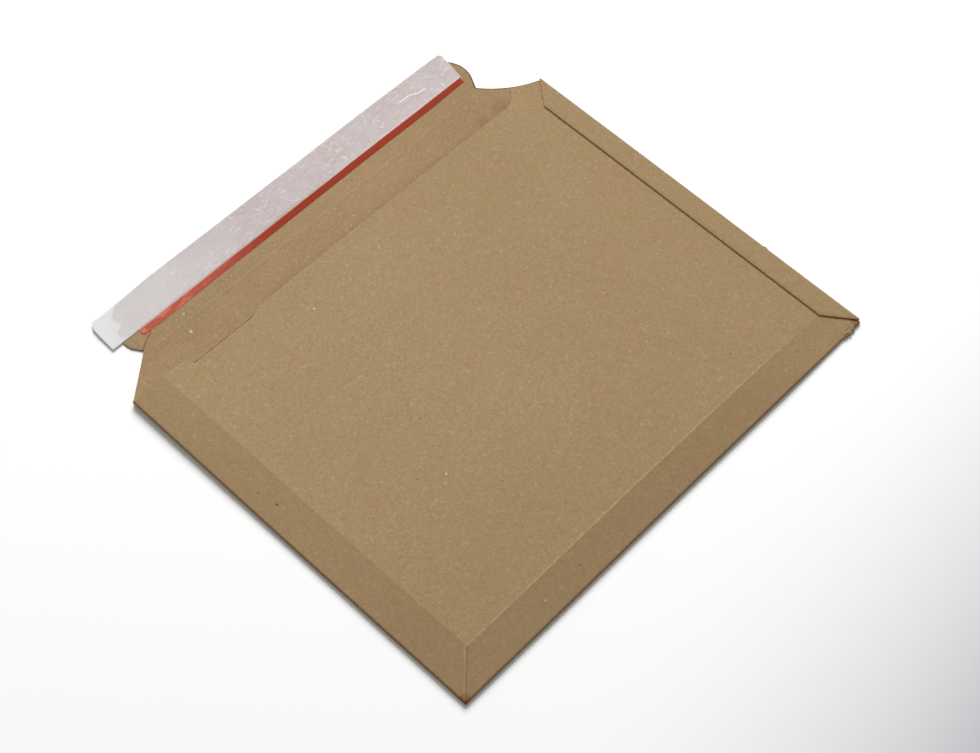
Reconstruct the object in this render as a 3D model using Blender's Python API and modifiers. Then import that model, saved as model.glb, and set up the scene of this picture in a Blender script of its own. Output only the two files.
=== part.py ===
# Cardboard envelope: one die-cut board sheet folded into a flat pocket, with its closure flap laid open.
# The lower panel turns up at the bottom fold into the upper panel. The upper panel's left edge is turned
# under and glued inside, and the lower panel's right edge is turned over the upper panel and glued on it.
# Metres, +Z up. In the model's own plan, x runs from the left fold and y from the bottom fold.

import bmesh
import bpy
from math import atan2, cos, pi, sin
from mathutils import Matrix, Vector

# Board and films
BOARD = 0.0009               # solid kraft board
GLUE_LINE = 0.00015          # between two glued layers
POCKET_SLACK = 0.00035       # air over the turned-under flap where the pocket lies flattest
TAPE_FILM = 0.00012          # red tear tape
ADHESIVE_FILM = 0.00012      # adhesive strip
LINER_PAPER = 0.00012        # release paper over the adhesive
SEAT = 0.0002                # clearance under each film
CREASE_GAP = 0.0003          # between the lower panel and the closure flap at their crease

# Pocket, plan sizes
BODY_WIDTH = 0.334           # over both side folds
BODY_DEPTH = 0.252           # bottom fold to the shoulder corners
CORNER_NOTCH = 0.0006        # cut-back of a side fold from the bottom fold
EDGE_STEP = 0.0006           # raw edge of the lower panel inside the left fold
SEAM_FLAP = 0.0152           # glued seam flap, width from the right fold
SEAM_MITRE_BOTTOM = 0.0181   # slant of the seam flap's lower end along the fold
SEAM_MITRE_TOP = 0.0164      # slant of its upper end
HIDDEN_FLAP = 0.015          # turned-under flap, width from the left fold
HIDDEN_MITRE = 0.012         # slant of its two ends

# Mouth edge of the upper panel
MOUTH_SETBACK = 0.0019       # edge behind the shoulder corners, in its middle
LIP_PULL = 0.0025            # further setback where the lip is pulled down on the left
LIP_PULL_END = 0.098         # from the left fold to the end of that stretch
LIP_PULL_RUN = 0.013         # length over which the edge comes back
WING_WIDTH = 0.0387          # left corner of the upper panel that keeps its full depth
WING_PEAK = 0.024            # from the left fold to the furthest point of its edge
WING_BOW = 0.0006            # how far that point stands past the shoulder corner
HORN_FOOT = 0.0395           # from the right fold to where the edge starts to rise into its right corner
HORN_BEND = 0.029            # from the right fold to the middle of that round rise
HORN_DIP = 0.0029            # how low its curve is pulled there
HORN_SHARE = 0.5             # how far along the shoulder the corner reaches
SHOULDER_STEP = 0.0013       # lower panel's rim showing beyond the upper panel

# Shoulders, crease and closure flap
SHOULDER_DEPTH = 0.0199      # shoulder corners to the flap's crease
NOTCH_LEFT = 0.0275          # from the left fold to the notch beside the flap
NOTCH_RIGHT = 0.0338         # from the right fold to the other notch
NOTCH_RISE_LEFT = 0.0022     # notches beyond the crease line
NOTCH_RISE_RIGHT = 0.0033
CREASE_END = 0.0056          # slanted crease end beside each notch
SHOULDER_BOW = 0.003         # hollow of the right shoulder
FLAP_DEPTH = 0.0361          # crease to the flap's free edge
EAR_OVERHANG = 0.0053        # right end of the flap beyond its notch
EAR_RADIUS = 0.017           # its round corner
EAR_TURN = 1.9               # angle of that corner
LEFT_EAR_OVERHANG = 0.0046   # left end of the flap beyond its notch
LEFT_EAR_LEVEL = 0.0126      # widest place of the left end, from the crease
LEFT_EAR_RADIUS = 0.0134     # round lower part, from the notch to the widest place
LEFT_EAR_WIDTH = 0.018       # oval upper part, from the widest place to the free edge

# Tape, adhesive and release liner on the flap, from its crease and the notches
TAPE_OFFSET = 0.011
TAPE_WIDTH = 0.005
TAPE_INSET_LEFT = 0.006
TAPE_INSET_RIGHT = 0.0017
LINER_CLEARANCE = 0.0003     # between the tape and the liner's lower edge
LINER_WIDTH = 0.022
LINER_DROOP = 0.002          # left end hangs this much lower than the middle
LINER_OVERHANG = 0.0032      # right end past the notch
LINER_SLANT = 0.0035         # lean of the right end
LINER_CORNER = 0.003         # its rounded upper right corner
KINK_INSET_LOW = 0.0047      # foot of the kink, left of the notch
KINK_LEAN = 0.011            # sideways run of the kink across the liner
TAIL_LOW = 0.0071            # tail length along its lower edge
TAIL_HIGH = 0.0157           # tail length along its upper edge
TAIL_SLOPE = 0.03            # rise of the tail beyond the kink
ADHESIVE_MARGIN = 0.0025     # adhesive's distance from the kink, the notch, the flap's and the liner's edges

# Swell of the upper panel and its expansion creases
SIDE_CREASE = 0.0229         # from the left fold
BOTTOM_CREASE = 0.0210       # from the bottom fold
CROWN = 0.0023               # rise of the swollen panel above its folds
CROWN_LEFT = 0.5             # share of it along the side crease
CROWN_CORNER = 0.75          # share of it where the creases meet
CROWN_RUN = 0.12             # width over which the left side reaches the full crown
CORNER_RUN = 0.06            # depth over which the corner share gives way to the side share
RIGHT_RUN = 0.11             # ramp down to the seam flap, in the middle
RIGHT_RUN_MOUTH = 0.025      # the same at the mouth
MOUTH_RUN = 0.06             # depth over which the crown changes towards the mouth
LIP_LEFT = 0.15              # share of the crown left at the lip, left and middle
LIP_MIDDLE = 0.72
LIP_RISE_START = 0.06        # stretch over which the lip rises, from the left fold
LIP_RISE_END = 0.16
PRESS_START = 0.072          # panel starts to sink towards the seam flap, from the right fold
PRESS_END = 0.018
SEAM_SPRING = 0.00035        # extra height of the seam where it meets the bottom fold
SEAM_SPRING_RUN = 0.0104     # depth over which it settles
FOLD_SHIFT_RUN = 0.03        # depth over which the tighter bottom fold at the right evens out
CORNER_LIFT = 0.0012         # the mouth's left corner stands off the table
LIFT_WIDTH = 0.05            # its reach from the left fold
LIFT_DEPTH = 0.14            # its reach from the shoulder corner
LIFT_FADE = 0.018            # it ends this far beyond the shoulder corner

# Mesh fineness
FOLD_STEPS = 6
FOLD_GUARD = 0.0012          # line beside each fold that keeps the panels flat up to it
COLUMNS = 18
ROWS = 14
ARC_STEPS = 8
LIFT_STEPS = 6
SPRING_STEPS = 3
TOUCH = 0.000001

# Layer heights, at the middle of the board
lowerMid = BOARD / 2
hiddenMid = lowerMid + BOARD + GLUE_LINE
upperMid = hiddenMid + BOARD + POCKET_SLACK
seamedMid = lowerMid + BOARD + GLUE_LINE
seamFlapMid = seamedMid + BOARD + GLUE_LINE

# Folds: middle radius, start line and length of board in each
bottomRadius = (upperMid - lowerMid) / 2
leftRadius = (upperMid - hiddenMid) / 2
rightRadius = (seamFlapMid - lowerMid) / 2
bottomArc = pi * bottomRadius
leftArc = pi * leftRadius
rightArc = pi * rightRadius
foldY = bottomRadius + BOARD / 2
foldLeft = leftRadius + BOARD / 2
foldRight = BODY_WIDTH - rightRadius - BOARD / 2
panelStart = foldY - bottomArc
sideStart = foldY + CORNER_NOTCH

# Lines that several pieces share
mouthY = BODY_DEPTH - MOUTH_SETBACK
creaseY = BODY_DEPTH + SHOULDER_DEPTH
notchRightX = BODY_WIDTH - NOTCH_RIGHT
seamEdgeX = BODY_WIDTH - SEAM_FLAP
panelEdgeX = foldRight - GLUE_LINE
linerLowY = creaseY + TAPE_OFFSET + TAPE_WIDTH + LINER_CLEARANCE
linerHighY = linerLowY + LINER_WIDTH
kinkX = NOTCH_LEFT - KINK_INSET_LOW
totalDepth = linerHighY


def mix(a, b, share):
    return a + (b - a) * share


def smooth(value):
    t = min(max(value, 0.0), 1.0)
    return t * t * (3 - 2 * t)


# Heights of the folded sheet

def panelMid(x, y):
    """Height of the upper panel without its swell, which sinks under the seam flap."""
    pressed = smooth((x - BODY_WIDTH + PRESS_START) / (PRESS_START - PRESS_END))
    underSeam = seamedMid + SEAM_SPRING * (1 - smooth((y - foldY) / SEAM_SPRING_RUN))
    return mix(upperMid, underSeam, pressed)


def crown(x, y):
    """Swell of the upper panel: full in the middle, none at the folds and under the seam flap."""
    sideRamp = (x - foldLeft) / (SIDE_CREASE - foldLeft)
    bottomRamp = (y - foldY) / (BOTTOM_CREASE - foldY)
    towardsMouth = smooth((y - mouthY + MOUTH_RUN) / MOUTH_RUN)
    rightRun = mix(RIGHT_RUN, RIGHT_RUN_MOUTH, towardsMouth)
    rightRamp = smooth((seamEdgeX - x) / rightRun)
    leftShare = mix(CROWN_CORNER, CROWN_LEFT, smooth((y - BOTTOM_CREASE) / CORNER_RUN))
    share = mix(leftShare, 1, smooth((x - SIDE_CREASE) / CROWN_RUN))
    lipShare = mix(LIP_LEFT, LIP_MIDDLE, smooth((x - LIP_RISE_START) / (LIP_RISE_END - LIP_RISE_START)))
    return CROWN * max(min(sideRamp, bottomRamp, 1), 0) * rightRamp * share * mix(1, lipShare, towardsMouth)


def lift(x, y):
    """Rise of the whole stack towards the mouth's left corner."""
    across = 1 - smooth(x / LIFT_WIDTH)
    along = smooth((y - BODY_DEPTH + LIFT_DEPTH) / LIFT_DEPTH)
    beyond = 1 - smooth((y - BODY_DEPTH) / LIFT_FADE)
    return CORNER_LIFT * across * along * beyond


# From the flat blank to the folded sheet

def flatY(y):
    """Blank coordinate of a point of the upper panel."""
    return panelStart - (y - foldY)


def hiddenX(x):
    """Blank coordinate of a point of the turned-under flap."""
    return foldLeft - leftArc - (x - foldLeft)


def seamX(x):
    """Blank coordinate of a point of the seam flap."""
    return foldRight + rightArc + (foldRight - x)


def bottomRadiusAt(x):
    return (panelMid(x, foldY) - lowerMid) / 2


def foldedBottom(x, turn):
    radius = bottomRadiusAt(x)
    return (x, radius + BOARD / 2 - radius * sin(pi * turn), lowerMid + radius * (1 - cos(pi * turn)))


def foldedPanel(x, y):
    if x >= foldLeft - TOUCH:
        tighter = (bottomRadius - bottomRadiusAt(x)) * max(0, 1 - (y - foldY) / FOLD_SHIFT_RUN)
        return (x, y - tighter, panelMid(x, y) + crown(x, y))
    turn = (foldLeft - x) / leftArc
    if turn < 1:
        return (foldLeft - leftRadius * sin(pi * turn), y, hiddenMid + leftRadius * (1 + cos(pi * turn)))
    return (foldLeft + (turn - 1) * leftArc, y, hiddenMid)


def foldedSeam(x, y):
    radius = (panelMid(BODY_WIDTH, y) + BOARD + GLUE_LINE - lowerMid) / 2
    start = BODY_WIDTH - BOARD / 2 - radius
    turn = (x - foldRight) / rightArc
    if turn < 1:
        return (start + radius * sin(pi * turn), y, lowerMid + radius * (1 - cos(pi * turn)))
    return (start - (turn - 1) * rightArc, y, lowerMid + 2 * radius)


def foldedBlank(x, y):
    """Place of a point of the flat blank once the sheet is folded."""
    if y < panelStart + TOUCH:
        return foldedPanel(x, foldY + panelStart - y)
    if y < foldY + TOUCH:
        return foldedBottom(x, (foldY - y) / bottomArc)
    if x > foldRight + TOUCH:
        return foldedSeam(x, y)
    return (x, y, lowerMid)


# Outlines

def shoulderPoint(share, inset=0.0):
    """Point of the hollow right shoulder, from the body's corner to the notch."""
    corner = Vector((BODY_WIDTH, BODY_DEPTH))
    notch = Vector((notchRightX, creaseY + NOTCH_RISE_RIGHT))
    along = notch - corner
    inward = Vector((-along.y, along.x)).normalized()
    return corner + along * share + inward * (4 * SHOULDER_BOW * share * (1 - share) + inset)


def mouthEdge():
    """Mouth edge of the upper panel, from the left corner to the raw right edge."""
    wingY = BODY_DEPTH + WING_BOW
    pulledY = mouthY - LIP_PULL
    hornFoot = Vector((BODY_WIDTH - HORN_FOOT, mouthY))
    hornBend = Vector((BODY_WIDTH - HORN_BEND, mouthY - HORN_DIP))
    hornTop = shoulderPoint(HORN_SHARE, SHOULDER_STEP)
    points = [(foldLeft, BODY_DEPTH), (WING_PEAK, wingY), (WING_WIDTH, BODY_DEPTH)]
    points += [(WING_WIDTH + LIP_PULL / 2, pulledY), (LIP_PULL_END - LIP_PULL_RUN, pulledY)]
    points.append((LIP_PULL_END, mouthY))
    for i in range(ARC_STEPS):
        t = i / ARC_STEPS
        p = hornFoot * (1 - t) ** 2 + hornBend * 2 * t * (1 - t) + hornTop * t ** 2
        points.append((p.x, p.y))
    steps = ARC_STEPS // 2
    horn = [shoulderPoint(HORN_SHARE * (1 - i / steps), SHOULDER_STEP) for i in range(steps)]
    points += [(p.x, p.y) for p in horn]
    points.append((panelEdgeX, BODY_DEPTH - SHOULDER_STEP))
    return points


def creaseLine(shift):
    """Crease of the closure flap from right to left, moved by half of its gap."""
    right = (notchRightX, creaseY + NOTCH_RISE_RIGHT + shift)
    left = (NOTCH_LEFT, creaseY + NOTCH_RISE_LEFT + shift)
    return [right, (notchRightX - CREASE_END, creaseY + shift), (NOTCH_LEFT + CREASE_END, creaseY + shift), left]


def blankOutline():
    """The die-cut blank, without the closure flap, as it lies flat."""
    seamFar = foldRight + rightArc
    hiddenFar = foldLeft - leftArc
    points = [(EDGE_STEP, BODY_DEPTH), (EDGE_STEP, foldY), (foldLeft, panelStart), (foldLeft, flatY(sideStart))]
    points += [(hiddenFar, flatY(sideStart)), (hiddenX(HIDDEN_FLAP), flatY(sideStart + HIDDEN_MITRE))]
    points += [(hiddenX(HIDDEN_FLAP), flatY(BODY_DEPTH - HIDDEN_MITRE)), (hiddenFar, flatY(BODY_DEPTH))]
    points += [(x, flatY(y)) for x, y in mouthEdge()]
    points += [(panelEdgeX, panelStart), (panelEdgeX, foldY), (foldRight, sideStart), (seamFar, sideStart)]
    points += [(seamX(seamEdgeX), sideStart + SEAM_MITRE_BOTTOM)]
    points += [(seamX(seamEdgeX), BODY_DEPTH - SEAM_MITRE_TOP), (seamFar, BODY_DEPTH), (foldRight, BODY_DEPTH)]
    shoulder = [shoulderPoint(i / ARC_STEPS) for i in range(1, ARC_STEPS)]
    points += [(p.x, p.y) for p in shoulder]
    return points + creaseLine(-CREASE_GAP / 2)


def flapOutline():
    """The closure flap: crease, two round ends and a straight free edge."""
    widest = creaseY + LEFT_EAR_LEVEL
    lowCentre = NOTCH_LEFT - LEFT_EAR_OVERHANG + LEFT_EAR_RADIUS
    highCentre = NOTCH_LEFT - LEFT_EAR_OVERHANG + LEFT_EAR_WIDTH
    notchTurn = pi + atan2(widest - creaseY - NOTCH_RISE_LEFT, lowCentre - NOTCH_LEFT)
    right = notchRightX + EAR_OVERHANG - EAR_RADIUS
    high = creaseY + FLAP_DEPTH - EAR_RADIUS
    points = list(reversed(creaseLine(CREASE_GAP / 2)))
    for i in range(ARC_STEPS + 1):
        angle = pi / 2 - EAR_TURN + EAR_TURN * i / ARC_STEPS
        points.append((right + EAR_RADIUS * cos(angle), high + EAR_RADIUS * sin(angle)))
    for i in range(ARC_STEPS + 1):
        angle = pi / 2 + pi / 2 * i / ARC_STEPS
        rise = LEFT_EAR_LEVEL - FLAP_DEPTH
        points.append((highCentre + LEFT_EAR_WIDTH * cos(angle), widest - rise * sin(angle)))
    for i in range(1, ARC_STEPS // 2):
        angle = mix(pi, notchTurn, i / (ARC_STEPS // 2))
        points.append((lowCentre + LEFT_EAR_RADIUS * cos(angle), widest + LEFT_EAR_RADIUS * sin(angle)))
    return points


def linerOutline():
    """The release liner: a long strip with a rounded right corner and a tail past its kink."""
    right = notchRightX + LINER_OVERHANG
    foot = linerLowY - LINER_DROOP
    head = linerHighY - LINER_DROOP
    points = [(kinkX - TAIL_LOW, foot), (kinkX, foot), (kinkX + KINK_LEAN, linerLowY)]
    points.append((right - LINER_SLANT, linerLowY))
    for i in range(ARC_STEPS // 2 + 1):
        angle = pi / 2 * i / (ARC_STEPS // 2)
        across = right - LINER_CORNER * (1 - cos(angle))
        points.append((across, linerHighY - LINER_CORNER * (1 - sin(angle))))
    headX = kinkX + KINK_LEAN
    return points + [(headX + LINER_WIDTH, linerHighY), (headX, head), (headX - TAIL_HIGH, head)]


def box(x0, x1, y0, y1):
    return [(x0, y0), (x1, y0), (x1, y1), (x0, y1)]


# Modelling

def newMaterial(name, colour, roughness):
    material = bpy.data.materials.new(name)
    material.use_nodes = True
    shader = material.node_tree.nodes["Principled BSDF"]
    shader.inputs["Base Color"].default_value = (*colour, 1)
    shader.inputs["Roughness"].default_value = roughness
    shader.inputs["Metallic"].default_value = 0
    return material


def outlineMesh(name, outline, extrude=0.0):
    """A filled 2D curve, turned into a mesh with its caps welded."""
    curve = bpy.data.curves.new(name, "CURVE")
    curve.dimensions = "2D"
    curve.fill_mode = "BOTH"
    curve.extrude = extrude
    spline = curve.splines.new("POLY")
    spline.points.add(len(outline) - 1)
    for point, (x, y) in zip(spline.points, outline):
        point.co = (x, y, 0, 1)
    spline.use_cyclic_u = True
    drawn = bpy.data.objects.new(name + "_outline", curve)
    bpy.context.scene.collection.objects.link(drawn)
    evaluated = drawn.evaluated_get(bpy.context.evaluated_depsgraph_get())
    mesh = bpy.data.meshes.new_from_object(evaluated)
    bpy.data.objects.remove(drawn)
    bpy.data.curves.remove(curve)
    mesh.name = name
    sheet = bmesh.new()
    sheet.from_mesh(mesh)
    bmesh.ops.remove_doubles(sheet, verts=sheet.verts, dist=TOUCH)
    sheet.to_mesh(mesh)
    sheet.free()
    return mesh


def addPiece(name, mesh, material, parent):
    """An object in the model's own plan, carried by the body's or the hinge's empty."""
    piece = bpy.data.objects.new(name, mesh)
    mesh.materials.clear()
    mesh.materials.append(material)
    parts.objects.link(piece)
    piece.parent = parent
    if parent is hinge:
        piece.location = -hinge.location
    return piece


def flatPiece(name, outline, low, thickness, material, parent):
    """A flat solid of one thickness, from its outline."""
    mesh = outlineMesh(name, outline, thickness / 2)
    mesh.transform(Matrix.Translation((0, 0, low + thickness / 2)))
    return addPiece(name, mesh, material, parent)


def cut(sheet, point, normal, inside):
    """Cuts the faces whose centres pass the test along the line through a point."""
    faces = [face for face in sheet.faces if inside(face.calc_center_median())]
    edges = {edge for face in faces for edge in face.edges}
    verts = {vert for face in faces for vert in face.verts}
    geometry = faces + list(edges) + list(verts)
    bmesh.ops.bisect_plane(sheet, geom=geometry, dist=TOUCH, plane_co=(*point, 0), plane_no=(*normal, 0))


def cutFolds(sheet):
    """Edges round each fold."""
    for i in range(FOLD_STEPS + 1):
        cut(sheet, (0, foldY - bottomArc * i / FOLD_STEPS), (0, 1), lambda c: True)
    for i in range(FOLD_STEPS + 1):
        cut(sheet, (foldLeft - leftArc * i / FOLD_STEPS, 0), (1, 0), lambda c: c.y < panelStart)
        cut(sheet, (foldRight + rightArc * i / FOLD_STEPS, 0), (1, 0), lambda c: c.y > foldY)
    cut(sheet, (0, foldY + FOLD_GUARD), (0, 1), lambda c: c.y > foldY)
    cut(sheet, (0, panelStart - FOLD_GUARD), (0, 1), lambda c: c.y < panelStart)
    cut(sheet, (foldRight - FOLD_GUARD, 0), (1, 0), lambda c: c.y > foldY)
    cut(sheet, (foldRight + rightArc + FOLD_GUARD, 0), (1, 0), lambda c: c.y > foldY)
    cut(sheet, (foldLeft + FOLD_GUARD, 0), (1, 0), lambda c: c.y < panelStart)
    cut(sheet, (foldLeft - leftArc - FOLD_GUARD, 0), (1, 0), lambda c: c.y < panelStart)


def cutPanel(sheet):
    """Grid and crease lines of the upper panel, which let it swell."""
    bandX = SIDE_CREASE - foldLeft
    bandY = BOTTOM_CREASE - foldY
    columns = [SIDE_CREASE - bandX / 2, SIDE_CREASE]
    columns += [mix(SIDE_CREASE, seamEdgeX, (i + 1) / COLUMNS) for i in range(COLUMNS)]
    for x in columns:
        cut(sheet, (x, 0), (1, 0), lambda c: c.y < foldY)
    for y in panelRows():
        cut(sheet, (0, flatY(y)), (0, 1), lambda c: c.y < panelStart)
    inCorner = lambda c: foldLeft < c.x < SIDE_CREASE and flatY(BOTTOM_CREASE) < c.y < panelStart
    cut(sheet, (foldLeft, panelStart), (bandY, bandX), inCorner)


def panelRows():
    """Depths of the grid's rows, from the bottom band to the mouth."""
    rows = [(foldY + BOTTOM_CREASE) / 2, BOTTOM_CREASE]
    return rows + [mix(BOTTOM_CREASE, mouthY, (i + 1) / ROWS) for i in range(ROWS - 1)]


def cutLift(sheet):
    """Lines that let the lower layers follow the lifted corner."""
    nearLeft = lambda c: c.x < LIFT_WIDTH
    columns = [LIFT_WIDTH * (i + 1) / LIFT_STEPS for i in range(LIFT_STEPS)]
    for x in columns:
        cut(sheet, (x, 0), (1, 0), lambda c: c.y > foldY)
        if x < HIDDEN_FLAP:
            cut(sheet, (hiddenX(x), 0), (1, 0), lambda c: c.y < panelStart)
    for y in panelRows() + [BODY_DEPTH, BODY_DEPTH + LIFT_FADE / 2, BODY_DEPTH + LIFT_FADE]:
        if y > BODY_DEPTH - LIFT_DEPTH:
            cut(sheet, (0, y), (0, 1), lambda c: c.y > foldY and nearLeft(c))


def cutSpring(sheet):
    """Lines that let the seam settle just above the bottom fold."""
    for i in range(SPRING_STEPS):
        y = foldY + SEAM_SPRING_RUN * (i + 1) / SPRING_STEPS
        cut(sheet, (0, y), (0, 1), lambda c: c.x > foldRight)
        cut(sheet, (0, flatY(y)), (0, 1), lambda c: c.y < panelStart and c.x > BODY_WIDTH - PRESS_START)


def foldedMesh(name, outline, cuts, place):
    """The outline as one flat face, cut along its fold lines and put in place."""
    mesh = outlineMesh(name, outline)
    sheet = bmesh.new()
    sheet.from_mesh(mesh)
    bmesh.ops.dissolve_faces(sheet, faces=sheet.faces, use_verts=False)
    for makeCuts in cuts:
        makeCuts(sheet)
    bmesh.ops.triangulate(sheet, faces=sheet.faces)
    for vert in sheet.verts:
        vert.co = place(vert.co.x, vert.co.y)
    sheet.to_mesh(mesh)
    sheet.free()
    return mesh


def thicken(piece, thickness):
    """The board's thickness, half on each side of its middle."""
    wall = piece.modifiers.new("Thickness", "SOLIDIFY")
    wall.thickness = thickness
    wall.offset = 0
    wall.use_even_offset = True
    wall.use_quality_normals = True


# The envelope's pieces

def makeEnvelopeBody():
    """Pocket and lower panel, one folded sheet."""
    def place(x, y):
        point = Vector(foldedBlank(x, y))
        point.z += lift(point.x, point.y)
        return point

    mesh = foldedMesh("envelope_body", blankOutline(), [cutFolds, cutPanel, cutLift, cutSpring], place)
    body = addPiece("envelope_body", mesh, boardMaterial, envelope)
    thicken(body, BOARD)


def makeClosureFlap():
    flatPiece("closure_flap", flapOutline(), 0, BOARD, boardMaterial, hinge)


def makeTearTape():
    low = creaseY + TAPE_OFFSET
    outline = box(NOTCH_LEFT + TAPE_INSET_LEFT, notchRightX - TAPE_INSET_RIGHT, low, low + TAPE_WIDTH)
    flatPiece("tear_tape", outline, BOARD + SEAT, TAPE_FILM, tapeMaterial, hinge)


def makeAdhesiveStrip():
    left = kinkX + KINK_LEAN + ADHESIVE_MARGIN
    high = creaseY + FLAP_DEPTH - ADHESIVE_MARGIN
    outline = box(left, notchRightX - ADHESIVE_MARGIN, linerLowY + ADHESIVE_MARGIN, high)
    flatPiece("adhesive_strip", outline, BOARD + SEAT, ADHESIVE_FILM, adhesiveMaterial, hinge)


def makeReleaseLiner():
    """Flat on the adhesive, with its free end bent up past the kink."""
    foot = Vector((kinkX, linerLowY - LINER_DROOP))
    head = Vector((kinkX + KINK_LEAN, linerHighY - LINER_DROOP))
    away = Vector((foot.y - head.y, head.x - foot.x)).normalized()
    mid = BOARD + SEAT + ADHESIVE_FILM + SEAT + LINER_PAPER / 2

    def cutKink(sheet):
        cut(sheet, foot, away, lambda c: True)

    def place(x, y):
        beyond = max((Vector((x, y)) - foot).dot(away), 0)
        return Vector((x, y, mid + TAIL_SLOPE * beyond))

    mesh = foldedMesh("release_liner", linerOutline(), [cutKink], place)
    liner = addPiece("release_liner", mesh, linerMaterial, hinge)
    thicken(liner, LINER_PAPER)


for old in list(bpy.data.objects):
    bpy.data.objects.remove(old)

parts = bpy.data.collections.new("cardboard_envelope")
bpy.context.scene.collection.children.link(parts)

envelope = bpy.data.objects.new("envelope_origin", None)
envelope.location = (-BODY_WIDTH / 2, -totalDepth / 2, 0)
parts.objects.link(envelope)
hinge = bpy.data.objects.new("closure_flap_hinge", None)
hinge.location = (BODY_WIDTH / 2, creaseY, BOARD)
hinge.parent = envelope
parts.objects.link(hinge)

boardMaterial = newMaterial("kraft_board", (0.39, 0.28, 0.16), 0.85)
tapeMaterial = newMaterial("red_tape", (0.37, 0.06, 0.05), 0.3)
adhesiveMaterial = newMaterial("adhesive", (0.72, 0.66, 0.5), 0.4)
linerMaterial = newMaterial("release_paper", (0.62, 0.56, 0.54), 0.5)

makeEnvelopeBody()
makeClosureFlap()
makeTearTape()
makeAdhesiveStrip()
makeReleaseLiner()
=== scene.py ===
# Cardboard envelope with its closure flap laid open, on a pale table under soft light.
# The plan used here runs from the left fold (x) and from the bottom fold (y), in metres.
from math import atan2, cos, exp, pi, radians, sin

import bmesh
import bpy
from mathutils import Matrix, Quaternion, Vector, noise


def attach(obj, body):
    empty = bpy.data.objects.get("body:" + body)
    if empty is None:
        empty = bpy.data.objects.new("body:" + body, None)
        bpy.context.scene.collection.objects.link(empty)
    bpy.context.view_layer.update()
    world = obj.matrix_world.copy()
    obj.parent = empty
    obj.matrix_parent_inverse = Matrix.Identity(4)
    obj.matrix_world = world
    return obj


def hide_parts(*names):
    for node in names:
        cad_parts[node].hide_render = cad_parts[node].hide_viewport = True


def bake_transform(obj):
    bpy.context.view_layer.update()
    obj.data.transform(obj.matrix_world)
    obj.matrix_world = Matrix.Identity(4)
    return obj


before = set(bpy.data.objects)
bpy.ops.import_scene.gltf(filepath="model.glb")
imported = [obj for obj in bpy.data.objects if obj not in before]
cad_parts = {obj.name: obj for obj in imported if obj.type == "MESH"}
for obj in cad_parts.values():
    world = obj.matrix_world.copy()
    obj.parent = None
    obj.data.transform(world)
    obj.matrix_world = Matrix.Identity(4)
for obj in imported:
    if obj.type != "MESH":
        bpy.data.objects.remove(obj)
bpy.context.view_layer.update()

planOrigin = Vector((-0.167, -0.1551, 0))  # bottom left corner of the envelope in the model's frame
bpy.context.scene.view_settings.view_transform = "Standard"
print("frame loaded with", len(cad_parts), "nodes")


# Camera
photoCamera = {
    "place": (-0.4958, -0.3951, 0.9614),
    "aim": (-0.01349, -0.02858, 0.0),
    "roll": 6.87,  # degrees, right side up
    "lens": 74.31,  # on a 36 mm wide sensor
}


def addCamera(settings):
    bpy.ops.object.camera_add(location=settings["place"])
    camera = bpy.context.object
    camera.name = "photo_camera"
    look = Vector(settings["aim"]) - Vector(settings["place"])
    turned = look.to_track_quat("-Z", "Y") @ Quaternion((0, 0, 1), radians(settings["roll"]))
    camera.rotation_euler = turned.to_euler()
    camera.data.sensor_width = 36
    camera.data.lens = settings["lens"]
    camera.data.clip_start = 0.05
    bpy.context.scene.camera = camera


def deselectAll():
    bpy.ops.object.select_all(action="DESELECT")


deselectAll()
addCamera(photoCamera)
print("camera placed")


# Shader tools
def paint(red, green, blue):
    # a colour as a picture shows it, turned to the linear one that a socket wants
    parts = [level / 255 for level in (red, green, blue)]
    return tuple(c / 12.92 if c < 0.04045 else ((c + 0.055) / 1.055) ** 2.4 for c in parts) + (1,)


class Value:  # a socket that sums can be written with
    def __init__(self, finish, socket):
        self.finish = finish
        self.socket = socket

    def maths(self, operation, first, second=0.0):
        return self.finish.node("ShaderNodeMath", {"operation": operation}, {0: first, 1: second})

    def __add__(self, other):
        return self.maths("ADD", self, other)

    def __radd__(self, other):
        return self.maths("ADD", other, self)

    def __sub__(self, other):
        return self.maths("SUBTRACT", self, other)

    def __rsub__(self, other):
        return self.maths("SUBTRACT", other, self)

    def __mul__(self, other):
        return self.maths("MULTIPLY", self, other)

    def __rmul__(self, other):
        return self.maths("MULTIPLY", other, self)

    def __truediv__(self, other):
        return self.maths("DIVIDE", self, other)

    def __abs__(self):
        return self.maths("ABSOLUTE", self)

    def atLeast(self, other):
        return self.maths("MAXIMUM", self, other)

    def atMost(self, other):
        return self.maths("MINIMUM", self, other)


def strongest(shares):
    best = shares[0]
    for share in shares[1:]:
        best = best.atLeast(share)
    return best


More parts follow.
